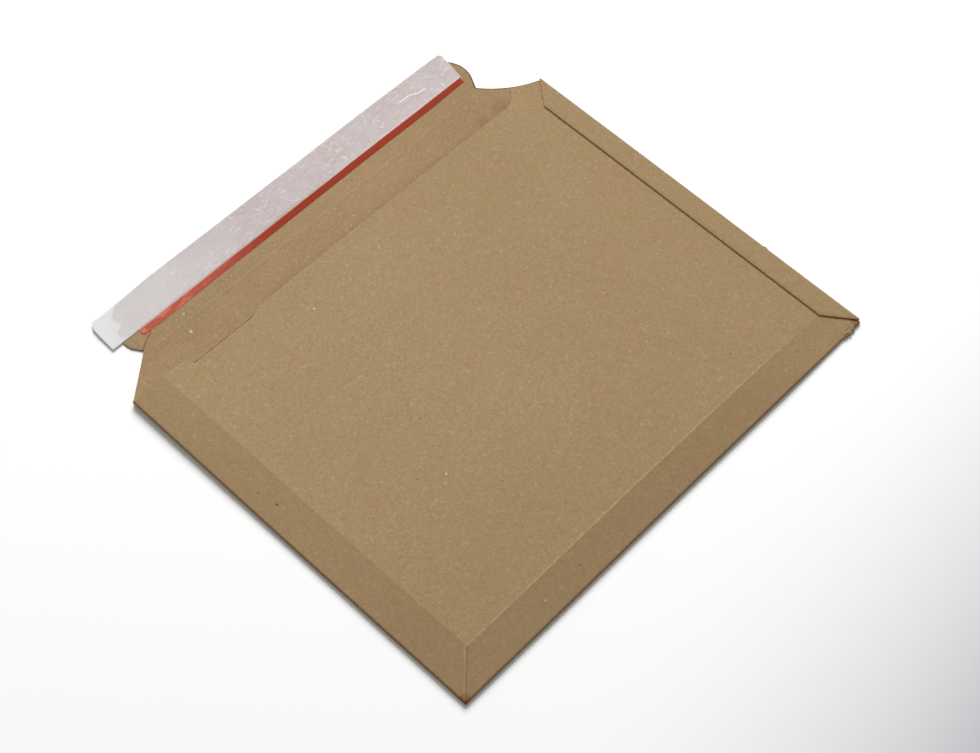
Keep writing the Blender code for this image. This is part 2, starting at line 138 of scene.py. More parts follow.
class Finish:  # a material and the nodes that make it up
    def __init__(self, name, roughness=0.8, specular=0.3):
        self.material = bpy.data.materials.new(name)
        self.material.use_nodes = True
        self.tree = self.material.node_tree
        self.shader = self.tree.nodes["Principled BSDF"]
        self.shader.inputs["Roughness"].default_value = roughness
        self.shader.inputs["Specular IOR Level"].default_value = specular

    def node(self, kind, settings=None, sockets=None, output=0):
        made = self.tree.nodes.new(kind)
        for name, value in (settings or {}).items():
            setattr(made, name, value)
        for name, value in (sockets or {}).items():
            if isinstance(value, Value):
                self.tree.links.new(value.socket, made.inputs[name])
            else:
                made.inputs[name].default_value = value
        return Value(self, made.outputs[output])

    def place(self):
        # where a point of the piece lies in its flat sheet, in millimetres
        return self.node("ShaderNodeAttribute", {"attribute_name": "sheetPlace"}, output=1)

    def split(self, vector):
        axes = self.node("ShaderNodeSeparateXYZ", sockets={0: vector}).socket.node.outputs
        return [Value(self, socket) for socket in axes]

    def join(self, x, y, z=0.0):
        return self.node("ShaderNodeCombineXYZ", sockets={0: x, 1: y, 2: z})

    def grain(self, vector, scale, detail=2.0, rough=0.5, bend=0.0):
        sockets = {"Vector": vector, "Scale": scale, "Detail": detail}
        sockets.update({"Roughness": rough, "Distortion": bend})
        return self.node("ShaderNodeTexNoise", sockets=sockets)

    def turned(self, vector, degrees, scale, shift=(0, 0, 0)):
        turn = (0, 0, radians(degrees))
        sockets = {"Vector": vector, "Rotation": turn, "Scale": scale, "Location": shift}
        return self.node("ShaderNodeMapping", {"vector_type": "POINT"}, sockets)

    def rise(self, value, low, high):
        # 0 below low, 1 above high, smooth between; falls where low is the greater
        sockets = {"Value": value, "From Min": low, "From Max": high}
        return self.node("ShaderNodeMapRange", {"interpolation_type": "SMOOTHSTEP"}, sockets)

    def line(self, value, centre, width):
        return self.rise(abs(value - centre), width, 0.0)

    def distance(self, place, centre):
        return self.node("ShaderNodeVectorMath", {"operation": "DISTANCE"}, {0: place, 1: (*centre, 0)}, 1)

    def spot(self, place, centre, radius):
        return self.rise(self.distance(place, centre), radius, radius * 0.35)

    def stroke(self, x, y, start, end, width):
        # a mark along the straight line between two points
        run = Vector(end) - Vector(start)
        share = ((x - start[0]) * run.x + (y - start[1]) * run.y) / run.length_squared
        share = share.atLeast(0.0).atMost(1.0)
        gapX = x - start[0] - share * run.x
        gapY = y - start[1] - share * run.y
        away = self.node("ShaderNodeVectorMath", {"operation": "LENGTH"}, {0: self.join(gapX, gapY)}, 1)
        return self.rise(away, width, width * 0.3)

    def path(self, x, y, points, width):
        # a mark along a run of points
        return strongest([self.stroke(x, y, start, end, width) for start, end in zip(points, points[1:])])

    def tint(self, base, over, share):
        sockets = {0: share, 6: base, 7: over}
        return self.node("ShaderNodeMix", {"data_type": "RGBA"}, sockets, 2)

    def start(self, colours, first):
        self.colours = colours
        self.colour = colours[first]

    def over(self, name, share):
        # lays one of the named colours over what the finish has so far
        self.colour = self.tint(self.colour, self.colours[name], share)

    def relief(self, height, depth, strength=1.0):
        sockets = {"Height": height, "Distance": depth, "Strength": strength}
        bump = self.node("ShaderNodeBump", sockets=sockets)
        self.tree.links.new(bump.socket, self.shader.inputs["Normal"])

    def send(self, name, value):
        self.tree.links.new(value.socket, self.shader.inputs[name])


# Table, lamp and room
studio = {
    "lampPlace": (1.68, 1.68, 2.14),
    "lampSize": 2.3,
    "lampPower": 130.0,
    "roomLight": 0.2,
    "tableTone": 0.80,
    "nearTone": 1.0,  # what the camera alone sees, so that the table looks white
    "tableGlow": 0.085,
    # painted shade: the darkening below stands in for light falling off towards the table's front
    "fadeStart": 0.17,  # the table darkens from here on towards its front
    "fadeGrowth": 11.9,
}


def addLamp(settings):
    bpy.ops.object.light_add(type="AREA", location=settings["lampPlace"])
    lamp = bpy.context.object
    lamp.name = "soft_lamp"
    lamp.rotation_euler = Vector(settings["lampPlace"]).to_track_quat("Z", "Y").to_euler()
    lamp.data.shape = "DISK"
    lamp.data.size = settings["lampSize"]
    lamp.data.energy = settings["lampPower"]


def addRoom(settings):
    world = bpy.data.worlds.new("pale_room")
    bpy.context.scene.world = world
    world.use_nodes = True
    tree = world.node_tree
    tree.nodes.clear()
    rays = tree.nodes.new("ShaderNodeLightPath")
    lit = tree.nodes.new("ShaderNodeBackground")
    lit.inputs["Strength"].default_value = settings["roomLight"]
    seen = tree.nodes.new("ShaderNodeBackground")
    for background in (lit, seen):
        background.inputs["Color"].default_value = (1, 1, 1, 1)
    mix = tree.nodes.new("ShaderNodeMixShader")
    out = tree.nodes.new("ShaderNodeOutputWorld")
    tree.links.new(rays.outputs["Is Camera Ray"], mix.inputs[0])
    tree.links.new(lit.outputs[0], mix.inputs[1])
    tree.links.new(seen.outputs[0], mix.inputs[2])
    tree.links.new(mix.outputs[0], out.inputs["Surface"])


def tableFinish(settings):
    table = Finish("table_white")
    place = table.node("ShaderNodeTexCoord", output=3)
    x, y, z = table.split(place)
    # painted shade, darkening the table towards its front as the light falls off
    beyond = (x * 0.15 - y - settings["fadeStart"]).atLeast(0.0).atMost(0.2)
    fade = beyond * beyond * settings["fadeGrowth"]
    tone = settings["tableTone"]
    white = (tone, tone, tone, 1)
    cloth = table.node("ShaderNodeBsdfDiffuse", sockets={"Color": white})
    near = settings["nearTone"]
    dimmed = table.tint((near, near, near, 1), (0.05, 0.02, 0.09, 1), fade)
    nearCloth = table.node("ShaderNodeBsdfDiffuse", sockets={"Color": dimmed})
    glow = table.node("ShaderNodeEmission", sockets={"Strength": settings["tableGlow"] * (1.0 - fade)})
    both = table.node("ShaderNodeAddShader", sockets={0: nearCloth, 1: glow})
    rays = table.node("ShaderNodeLightPath")
    kinds = rays.socket.node.outputs
    camera, glossy = (Value(table, kinds[name]) for name in ("Is Camera Ray", "Is Glossy Ray"))
    seen = table.node("ShaderNodeMixShader", sockets={0: camera.atLeast(glossy), 1: cloth, 2: both})
    out = table.tree.nodes["Material Output"]
    table.tree.links.new(seen.socket, out.inputs["Surface"])
    table.tree.nodes.remove(table.shader)
    return table.material


def addTable(settings):
    bpy.ops.mesh.primitive_plane_add(size=12, location=(0, 0, -0.0001))
    table = bpy.context.object
    table.name = "table_top"
    table.data.materials.append(tableFinish(settings))


addLamp(studio)
addRoom(studio)
addTable(studio)
print("studio ready")


# Modelling tools
def layPlane(name, low, high):
    # a plane over a stretch of the plan, left in edit mode
    deselectAll()
    bpy.ops.mesh.primitive_plane_add(size=1, location=((low[0] + high[0]) / 2, (low[1] + high[1]) / 2, 0))
    piece = bpy.context.object
    piece.name = piece.data.name = name
    piece.scale = (high[0] - low[0], high[1] - low[1], 1)
    bpy.ops.object.transform_apply(location=True, rotation=True, scale=True)
    bpy.ops.object.mode_set(mode="EDIT")
    bpy.ops.mesh.select_mode(type="FACE")
    return piece


def selectFaces(inside):
    bpy.ops.mesh.select_all(action="DESELECT")
    mesh = bpy.context.object.data
    grid = bmesh.from_edit_mesh(mesh)
    for face in grid.faces:
        centre = face.calc_center_median()
        if inside(centre.x, centre.y):
            face.select_set(True)
    bmesh.update_edit_mesh(mesh)


def cutAway(inside):
    selectFaces(inside)
    bpy.ops.mesh.delete(type="FACE")


def score(point, normal, inside=None):
    if inside:
        selectFaces(inside)
    else:
        bpy.ops.mesh.select_all(action="SELECT")
    bpy.ops.mesh.bisect(plane_co=(*point, 0), plane_no=(*normal, 0), threshold=0.000001)


def scoreGrid(columns, rows):
    for x in sorted({round(x, 6) for x in columns}):
        score((x, 0), (1, 0))
    for y in sorted({round(y, 6) for y in rows}):
        score((0, y), (0, 1))


def trim(start, end, inside):
    # cuts from start to end and takes away what lies to the right of that line
    start = Vector(start)
    along = Vector(end) - start
    outward = Vector((along.y, -along.x)).normalized()
    score(start, outward, inside)
    cutAway(lambda x, y: inside(x, y) and (Vector((x, y)) - start).dot(outward) > 0)


def trimChain(points, inside):
    for start, end in zip(points, points[1:]):
        trim(start, end, inside)


def trimRow(points, inside):
    # a run of cuts, each kept between the two points that it joins
    for start, end in zip(points, points[1:]):
        left, right = sorted((start[0], end[0]))
        for x in (left, right):
            score((x, 0), (1, 0), inside)
        trim(start, end, lambda x, y: inside(x, y) and left < x < right)


def clearSlivers():
    # joins points that the cuts left close together, and drops what shrinks to nothing
    bpy.ops.mesh.select_all(action="SELECT")
    bpy.ops.mesh.remove_doubles(threshold=0.0001)
    bpy.ops.mesh.dissolve_degenerate(threshold=0.00002)


def spread(start, end, step):
    count = max(1, round(abs(end - start) / step))
    return [start + (end - start) * i / count for i in range(count + 1)]


def around(line, offsets):
    return [line + offset / 1000 for offset in offsets]


def mix(a, b, share):
    return a + (b - a) * share


def smooth(value):
    t = min(max(value, 0.0), 1.0)
    return t * t * (3 - 2 * t)


def bead(distance, width):
    return exp(-(distance / width) ** 2)


outerSide = 40.0  # third number of the places on a sheet's other side


def markPlaces(mesh):
    # keeps where each point lies in the flat sheet, in millimetres, for the finishes
    places = mesh.attributes.new("sheetPlace", "FLOAT_VECTOR", "POINT")
    for vert, place in zip(mesh.vertices, places.data):
        place.vector = (vert.co.x * 1000, vert.co.y * 1000, 0)


def finishSheet(piece, materials, thickness, bevel):
    # gives a sheet its materials and its thickness, and softens its cut edges
    piece.data.materials.clear()
    for material in materials:
        piece.data.materials.append(material)
    count = len(piece.data.vertices)
    solid = piece.modifiers.new("wall", "SOLIDIFY")
    solid.thickness = thickness
    solid.offset = 0
    solid.use_quality_normals = True
    solid.material_offset_rim = 1
    bpy.ops.object.modifier_apply(modifier="wall")
    places = piece.data.attributes["sheetPlace"].data
    for i in range(count, len(places)):
        places[i].vector.z = outerSide  # the other side of the sheet has its own grain
    soft = piece.modifiers.new("softEdge", "BEVEL")
    soft.width = bevel
    soft.segments = 2
    soft.limit_method = "ANGLE"
    soft.angle_limit = radians(50)
    bpy.ops.object.modifier_apply(modifier="softEdge")
    bpy.ops.object.shade_smooth_by_angle(angle=radians(32))


# Board finishes
kraft = {
    "paper": paint(170, 145, 108),
    "inner": paint(163, 135, 100),
    "pinkish": paint(173, 141, 107),
    "olive": paint(164, 144, 102),
    "deep": paint(126, 100, 64),
    "pale": paint(204, 186, 150),
    "fleck": paint(226, 208, 168),
    # dark specks, also used for painted shade in the mouth's gap and in the ear's slit
    "speckAndShade": paint(84, 62, 42),
    "tip": paint(134, 76, 48),
    # painted shade for the bands along the folds
    "bandShade": paint(140, 108, 76),
    "cutEdge": paint(198, 148, 84),
    "cutCore": paint(216, 174, 112),
    # painted shade and painted light for cut edges that lie in shade
    "cutEdgeShade": paint(66, 54, 42),
    "cutPaintedLight": paint(250, 226, 176),
    "cutSeamPaintedLight": paint(250, 182, 78),
    "torn": paint(190, 174, 122),
}

# plan x, y in mm and radius of single flecks and specks on the panel and beyond the mouth
panelFlecks = [(113.2, 226.2, 0.9), (170.2, 230.8, 0.7), (88.8, 99.2, 0.8), (71.0, 10.3, 0.8)]
panelSpecks = [(11.6, 150.3, 1.0), (9.1, 162.3, 0.7), (103.3, 132.8, 0.7), (106.8, 74.3, 0.6)]
panelSpecks += [(99.3, 10.8, 0.7), (259.7, 39.1, 0.7), (75.0, 107.7, 0.6)]
openFlecks = [(55.0, 265.3, 1.3), (60.0, 276.5, 0.8)]
openSpecks = [(195.1, 277.8, 0.7), (326.7, 256.4, 1.1)]
shoulderLine = [(300.0, 275.0), (308.9, 265.8), (315.2, 260.9)]
shoulderLine += [(320.2, 257.8), (325.9, 254.7), (333.4, 251.8)]
rightEarRound = ((289.5, 291.1), 16.6)
rightEarFoot = ((303.9, 282.6), (299.7, 275.7))
lipGap = [(42.5, 248.05), (81.5, 248.05), (88.0, 248.6)]
earSlit = [(27.4, 274.4), (30.5, 276.9), (34.4, 278.6), (38.9, 280.8)]


def fibres(finish, place, degrees, seed, limit):
    # short hairs that all run about one way
    bent = finish.turned(place, degrees, (0.3, 1.9, 1.0), (seed, seed * 0.7, 0))
    return finish.rise(finish.grain(bent, 1.0, 1.0, 0.4, 0.7), limit, limit + 0.08)


def curls(finish, place, degrees, seed, size=1.0):
    # bent hairs, cut short: the level lines of a soft grain, kept here and there
    moved = finish.turned(place, degrees, (1, 1, 1), (seed, seed * 1.3, seed * 0.4))
    thread = finish.line(finish.grain(moved, 0.24 / size, 0.0, 0.4), 0.5, 0.034)
    cut = finish.turned(place, degrees + 35, (1, 1, 1), (seed * 2.1, seed, 0))
    return thread * finish.rise(finish.grain(cut, 0.42 / size, 1.0, 0.4), 0.54, 0.6)


def kraftFinish(colours, flatRow, foldLines):
    board = Finish("kraft_board_face", 0.9, 0.1)
    place = board.place()
    x, y, side = board.split(place)
    outer = board.rise(side, 10.0, 30.0)
    cloudy = board.grain(place, 0.035, 3.0, 0.55)
    blotchy = board.grain(board.turned(place, 40, (1, 1, 1), (31, 7, 3)), 0.11, 3.0, 0.6)
    fine = board.grain(place, 0.74, 3.0, 0.7)
    coarse = board.grain(place, 0.36, 2.0, 0.55)
    board.start(colours, "inner")
    board.over("paper", outer)
    board.over("pinkish", board.rise(cloudy, 0.42, 0.66) * 0.5)
    board.over("olive", board.rise(blotchy, 0.5, 0.72) * 0.7)
    board.over("pinkish", board.rise(coarse, 0.55, 0.75) * 0.5)
    board.over("deep", board.rise(fine, 0.5, 0.72) * 0.26)
    board.over("pale", board.rise(fine, 0.48, 0.28) * 0.2)
    board.over("deep", board.rise(coarse, 0.5, 0.3) * 0.12)
    darkHair = fibres(board, place, 64, 17, 0.63).atLeast(fibres(board, place, 160, 43, 0.63))
    paleHair = curls(board, place, 10, 7).atLeast(curls(board, place, 75, 19))
    paleHair = paleHair.atLeast(curls(board, place, 140, 31))
    board.over("deep", darkHair * 0.16)
    board.over("pale", paleHair * 0.32)

    # loose flecks all over
    cells = board.node("ShaderNodeTexVoronoi", {"feature": "F1"}, {"Vector": place, "Scale": 0.12})
    chance = board.split(Value(board, cells.socket.node.outputs["Color"]))[0]
    bits = board.rise(cells + (fine - 0.5) * 0.05, 0.06, 0.03)
    board.over("fleck", bits * board.rise(chance, 0.9, 0.92) * 0.4)
    board.over("speckAndShade", bits * board.rise(chance, 0.3, 0.28) * 0.5)

    # single ones, where they are seen
    rough = board.node("ShaderNodeVectorMath", {"operation": "ADD"},
                       {0: board.join(x, y), 1: board.join((fine - 0.5) * 1.6, (coarse - 0.5) * 1.6)})
    flecks = [board.spot(rough, (a, flatRow(b)), r) for a, b, r in panelFlecks]
    flecks += [board.spot(rough, (a, b), r) for a, b, r in openFlecks]
    specks = [board.spot(rough, (a, flatRow(b)), r) for a, b, r in panelSpecks]
    specks += [board.spot(rough, (a, b), r) for a, b, r in openSpecks]
    board.over("fleck", strongest(flecks) * 0.85)
    board.over("speckAndShade", strongest(specks) * 0.8)

    # painted highlight on the bottom crease's ridge; painted shade and highlight beside the flap's raised
    # score, rough and broken
    broken = board.rise(board.grain(place, 0.3, 3.0, 0.7), 0.4, 0.6)
    sway = (board.grain(place, 0.2, 1.0, 0.5) - 0.5) * 1.6
    creaseHighlight = board.line(y + sway * 0.5, flatRow(foldLines["bottomCrease"] + 0.5), 0.9)
    creaseHighlight = creaseHighlight * board.rise(x, foldLines["sideCrease"] - 2, foldLines["sideCrease"] + 1)
    creaseHighlight = creaseHighlight * board.rise(x, 300.0, 255.0)
    board.over("pale", creaseHighlight * (0.1 + 0.34 * broken))
    along = board.rise(x, 30.0, 36.0) * board.rise(x, 297.0, 290.0)
    scoreShade = board.line(y + sway, foldLines["flapCrease"] - 1.2, 0.7) * along * broken
    scoreHighlight = board.line(y + sway, foldLines["flapCrease"] + 0.7, 0.9) * along
    board.over("deep", scoreShade * 0.26)
    board.over("pale", scoreHighlight * (0.02 + 0.14 * broken))

    # painted shade at the mouth: a thin gap shadow left of the lip, a soft band along it and under its
    # right corner, a line on its edge
    inner = 1.0 - outer
    gap = board.path(x, y, lipGap[:2], 0.75).atLeast(board.path(x, y, lipGap[1:], 0.6))
    board.over("speckAndShade", gap * inner * (0.52 + 0.28 * broken))
    shade = board.rise(y + sway, 257.0, 250.0) * board.rise(x, 92.0, 112.0) * board.rise(x, 312.0, 300.0)
    shade = shade.atLeast(board.spot(rough, (300.5, 253.5), 9.0) * 1.2)
    shade = shade.atLeast(board.spot(rough, (284.0, 253.0), 6.5) * 1.1)
    board.over("deep", shade * inner * 0.3)
    lipRow = flatRow(foldLines["mouth"])
    lipShade = board.line(y, lipRow, 0.9) * board.rise(x, 95.0, 105.0) * board.rise(x, 300.0, 292.0)
    board.over("deep", lipShade * outer * 0.45)

    # a dark line painted beside the cut edges of the right shoulder and the right end of the flap
    rim = board.path(x, y, rightEarFoot, 0.9).atLeast(board.path(x, y, shoulderLine, 0.9))
    earRim = board.line(board.distance(place, rightEarRound[0]), rightEarRound[1], 1.1)
    rim = rim.atLeast(earRim * board.rise(x, 290.0, 296.0) * board.rise(y, 282.0, 283.0))
    board.over("speckAndShade", rim * inner * 0.75)

    # painted shade: on the two bands sloping down to the folds, and growing towards the panel's right and
    # bottom and the inner face's right
    low = flatRow(foldLines["bottomCrease"])
    bandSlopeShade = board.rise(x, foldLines["sideCrease"] + 0.6, foldLines["sideCrease"] - 0.6)
    bandSlopeShade = bandSlopeShade.atLeast(board.rise(y, low - 0.6, low + 0.6) * board.rise(y, flatRow(-8.0), flatRow(-7.0)))
    board.over("bandShade", bandSlopeShade * outer * 0.24)
    falloffShade = board.rise(x, 120.0, 290.0) * 0.17
    falloffShade = falloffShade.atLeast(board.rise(y, flatRow(120.0), flatRow(40.0)) * 0.13)
    falloffShade = falloffShade * outer + board.rise(x, 200.0, 300.0) * inner * 0.14
    board.over("deep", falloffShade)
    # a pressed line runs from the corner to the two creases: painted shade in its groove and a painted
    # highlight on its lip
    slantEnd = (foldLines["sideCrease"], flatRow(foldLines["bottomCrease"]))
    slantStart = (0.8, flatRow(0.8))
    shift = 0.9
    grooveHighlight = board.stroke(x, y, (slantStart[0] - shift, slantStart[1] - shift),
                           (slantEnd[0] - shift, slantEnd[1] - shift), 0.7)
    board.over("pale", grooveHighlight * outer * (0.04 + 0.14 * broken))
    board.over("deep", board.stroke(x, y, slantStart, slantEnd, 0.7) * outer * 0.42)
    # painted shade of a slit beside the left ear, on the inner face
    slitShade = board.path(x, y, earSlit[:2], 0.55).atLeast(board.path(x, y, earSlit[1:], 0.5))
    board.over("speckAndShade", slitShade * inner * 0.6)

    # brown, bruised tips of the two bottom corners, and the torn run beside one of them
    for centre, radius in foldLines["tips"]:
        board.over("tip", board.spot(rough, centre, radius) * 0.6)
    ragged = (fine - 0.5) * 3.0
    tear = board.line(x + ragged, foldLines["tear"], 6.5) * board.line(y + ragged, -1.5, 4.5)
    board.over("torn", tear * board.rise(fine, 0.56, 0.44) * 0.7)
    board.over("speckAndShade", tear * board.rise(fine, 0.52, 0.6) * 0.6)
    board.send("Base Color", board.colour)
    board.send("Roughness", 0.86 + 0.1 * fine)
    board.relief(fine * 0.8 + coarse * 0.5 + paleHair * 0.3 - darkHair * 0.2, 0.0001, 0.6)
    return board.material


def cutEdgeFinish(colours, flatRow):
    edge = Finish("kraft_board_cut_edge", 0.95, 0.1)
    place = edge.node("ShaderNodeTexCoord", output=3)
    x, y, side = edge.split(edge.place())
    layers = edge.grain(edge.turned(place, 20, (260, 260, 5200)), 1.0, 3.0, 0.7, 0.4)
    crumbs = edge.grain(place, 1500.0, 3.0, 0.7)
    edge.start(colours, "cutEdge")
    edge.over("cutCore", edge.rise(layers, 0.42, 0.62) * 0.6)
    edge.over("speckAndShade", edge.rise(crumbs, 0.52, 0.75) * 0.5)
    # painted shade on the left ear's cut edge, which faces away from the light
    earEdgeShade = edge.rise(x, 50.0, 40.0) * edge.rise(y, 272.5, 275.0)
    edge.over("cutEdgeShade", earEdgeShade * 0.8)
    # painted light: the seam flap's cut edge, which lies in shade, gets a far lighter colour
    edge.over("cutSeamPaintedLight", edge.rise(x, 338.0, 342.0) * 0.85)
    corner = edge.rise(x, 6.0, 4.0) * edge.rise(y, 10.0, 6.0) * edge.rise(y, flatRow(10.0), flatRow(6.0))
    edge.over("tip", corner * 0.9)
    # painted light on the horn's cut edge, over the shade that falls there
    hornPaintedLight = edge.rise(x, 304.0, 307.0) * edge.rise(y, flatRow(253.0), flatRow(254.5))
    edge.over("cutPaintedLight", hornPaintedLight)
    edge.send("Base Color", edge.colour)
    edge.relief(layers * 0.7 + crumbs, 0.00012, 0.8)
    return edge.material


# Board, one die-cut sheet: pocket, seam flap, turned-under flap and closure flap
sheet = {
    "thickness": 0.0009, "glueLine": 0.00015, "pocketSlack": 0.00035,
    "width": 0.334, "depth": 0.252, "cornerNotch": 0.0002, "edgeStep": 0.0003, "seamGlue": 0.00003,
    "seamFlap": 0.0152, "seamMitreLow": 0.0181, "seamMitreHigh": 0.0164,
    "hiddenFlap": 0.015, "hiddenMitre": 0.012,
    "mouthSetback": 0.0019, "lipPull": 0.0033, "lipPullEnd": 0.098, "lipPullRun": 0.013,
    "wingWidth": 0.0387, "wingPeak": 0.024, "wingBow": 0.0006,
    "hornFoot": 0.0395, "hornBend": 0.029, "hornDip": 0.0029, "hornShare": 0.5, "shoulderStep": 0.0013,
    "shoulderDepth": 0.0199, "shoulderBow": 0.003,
    "notchLeft": 0.0275, "notchRight": 0.3002, "notchRiseLeft": 0.0022, "notchRiseRight": 0.0033,
    "flapDepth": 0.0361, "earOverhang": 0.0063, "earRadius": 0.017, "earTurn": 2.1,
    "leftOverhang": 0.0046, "leftLevel": 0.0126, "leftRadius": 0.0134, "leftWidth": 0.018,
    "foldSteps": 12, "shoulderSteps": 10, "earSteps": 14, "hornSteps": 12, "softEdge": 0.00011,
}
swell = {
    "sideCrease": 0.0229, "bottomCrease": 0.0210,
    "crown": 0.0023, "crownLeft": 0.5, "crownCorner": 0.75, "crownRun": 0.12, "cornerRun": 0.06,
    "rightRun": 0.11, "rightRunMouth": 0.025, "mouthRun": 0.06,
    "lipLeft": 0.15, "lipMiddle": 0.72, "lipRiseStart": 0.06, "lipRiseEnd": 0.16,
    "pressStart": 0.072, "pressEnd": 0.018, "seamSpring": 0.00035, "seamSpringRun": 0.0104,
    "foldShiftRun": 0.03, "cornerLift": 0.0012, "liftWidth": 0.05, "liftDepth": 0.14, "liftFade": 0.018,
}
marks = {
    "bottomBead": 0.00007, "sideBead": 0.00004, "flapBead": 0.00002,
    "groove": 0.00018, "grooveLip": 0.00005,
    "waves": 0.00016, "ripples": 0.00003, "sway": 0.00022,
    "nub": (0.0722, 0.0019, 0.0009),  # on the right fold: place, half length, height
    "tear": (0.3218, 0.0058, 0.0015),  # on the bottom fold: place, half length, height
    "nick": (0.0803, 0.0012, 0.0003),  # in the left fold
    "pinch": 0.004,  # how far from its corner the left fold is drawn in
}

board = sheet["thickness"]
lowerMid = board / 2
hiddenMid = lowerMid + board + sheet["glueLine"]
upperMid = hiddenMid + board + sheet["pocketSlack"]
seamedMid = lowerMid + board + sheet["glueLine"]
seamFlapMid = seamedMid + board + sheet["glueLine"]
bottomRadius = (upperMid - lowerMid) / 2
leftRadius = (upperMid - hiddenMid) / 2
rightRadius = (seamFlapMid - lowerMid) / 2
bottomArc = pi * bottomRadius
leftArc = pi * leftRadius
rightArc = pi * rightRadius
foldY = bottomRadius + board / 2
foldLeft = leftRadius + board / 2
foldRight = sheet["width"] - rightRadius - board / 2
panelStart = foldY - bottomArc
sideStart = foldY + sheet["cornerNotch"]
mouthY = sheet["depth"] - sheet["mouthSetback"]
creaseY = sheet["depth"] + sheet["shoulderDepth"]
flapEdgeY = creaseY + sheet["flapDepth"]
seamEdgeX = sheet["width"] - sheet["seamFlap"]
panelEdgeX = foldRight - sheet["glueLine"]
seamFar = foldRight + rightArc
hiddenFar = foldLeft - leftArc
lipStart = 0.2425  # the stretch of the panel up to the mouth starts here


def flatY(y):
    return panelStart - (y - foldY)  # a row of the upper panel in the flat sheet


def hiddenX(x):
    return hiddenFar - (x - foldLeft)  # a column of the turned-under flap


def seamX(x):
    return seamFar + (foldRight - x)  # a column of the seam flap


def panelMid(x, y):
    reach = swell["pressStart"] - swell["pressEnd"]
    pressed = smooth((x - sheet["width"] + swell["pressStart"]) / reach)
    spring = swell["seamSpring"] * (1 - smooth((y - foldY) / swell["seamSpringRun"]))
    return mix(upperMid, seamedMid + spring, pressed)


def crown(x, y):
    sideRamp = (x - foldLeft) / (swell["sideCrease"] - foldLeft)
    bottomRamp = (y - foldY) / (swell["bottomCrease"] - foldY)
    towardsMouth = smooth((y - mouthY + swell["mouthRun"]) / swell["mouthRun"])
    rightRun = mix(swell["rightRun"], swell["rightRunMouth"], towardsMouth)
    rightRamp = smooth((seamEdgeX - x) / rightRun)
    upSide = smooth((y - swell["bottomCrease"]) / swell["cornerRun"])
    leftShare = mix(swell["crownCorner"], swell["crownLeft"], upSide)
    share = mix(leftShare, 1, smooth((x - swell["sideCrease"]) / swell["crownRun"]))
    alongLip = smooth((x - swell["lipRiseStart"]) / (swell["lipRiseEnd"] - swell["lipRiseStart"]))
    lipShare = mix(swell["lipLeft"], swell["lipMiddle"], alongLip)
    ramp = max(min(sideRamp, bottomRamp, 1), 0)
    return swell["crown"] * ramp * rightRamp * share * mix(1, lipShare, towardsMouth)


def lift(x, y):
    across = 1 - smooth(x / swell["liftWidth"])
    along = smooth((y - sheet["depth"] + swell["liftDepth"]) / swell["liftDepth"])
    beyond = 1 - smooth((y - sheet["depth"]) / swell["liftFade"])
    return swell["cornerLift"] * across * along * beyond


def diagonalGap(x, y):
    # distance from the corner crease, where the bottom and side creases meet
    corner = Vector((swell["sideCrease"], swell["bottomCrease"]))
    return (x * corner.y - y * corner.x) / corner.length


def panelRelief(x, y):
    # scored creases, the pinched corner and soft waves of the upper panel
    side, bottom = swell["sideCrease"], swell["bottomCrease"]
    patchy = (0.7 + 0.9 * noise.noise(Vector((x * 190, 0.7, 4.4)))) * (1 - smooth((x - 0.262) / 0.04))
    height = marks["bottomBead"] * patchy * bead(y - bottom, 0.0007) * smooth((x - side) / 0.004)
    height += marks["sideBead"] * bead(x - side, 0.0009) * smooth((y - bottom) / 0.004)
    if x < side and y < bottom:
        gap = diagonalGap(x, y)
        near = smooth((bottom - y) / 0.002) * smooth((x - foldLeft) / 0.0015) * smooth((y - foldY) / 0.0015)
        height -= marks["groove"] * near * bead(gap, 0.0005)
        height += marks["grooveLip"] * near * (bead(gap - 0.0013, 0.0005) + bead(gap + 0.0013, 0.0005))
    inner = smooth((x - foldLeft) / 0.02) * smooth((y - foldY) / 0.02) * smooth((seamEdgeX - x) / 0.02)
    wave = noise.noise(Vector((x * 17, y * 15, 3.7))) * marks["waves"]
    ripple = noise.noise(Vector((x * 80, y * 80, 9.1))) * marks["ripples"]
    return height + inner * (wave + ripple)


def openRelief(x, y):
    # the raised score of the closure flap's crease and slight unevenness beyond the mouth
    broken = 0.65 + 0.5 * noise.noise(Vector((x * 260, 0.4, 2.2)))
    ends = smooth((x - 0.028) / 0.006) * smooth((sheet["notchRight"] - x) / 0.006)
    height = marks["flapBead"] * broken * ends * bead(y - creaseY - 0.0001, 0.0006)
    free = smooth((y - 0.255) / 0.01) * (1 - smooth((y - 0.277) / 0.004))
    return height + 0.00003 * (1 + noise.noise(Vector((x * 30, y * 30, 5.5)))) * free


def foldBottom(x, turn):
    radius = (panelMid(x, foldY) - lowerMid) / 2
    place, half, height = marks["tear"]
    jag = max(0.15, 0.55 + 1.3 * noise.noise(Vector((x * 620, turn * 3, 0))))
    radiusY = radius + smooth(2 * (1 - abs(x - place) / half)) * height * jag
    drawn = 1 - smooth(x / marks["pinch"])
    left = x - 0.6 * foldLeft * drawn * sin(pi * turn)
    return (left, radius + board / 2 - radiusY * sin(pi * turn), lowerMid + radius * (1 - cos(pi * turn)))


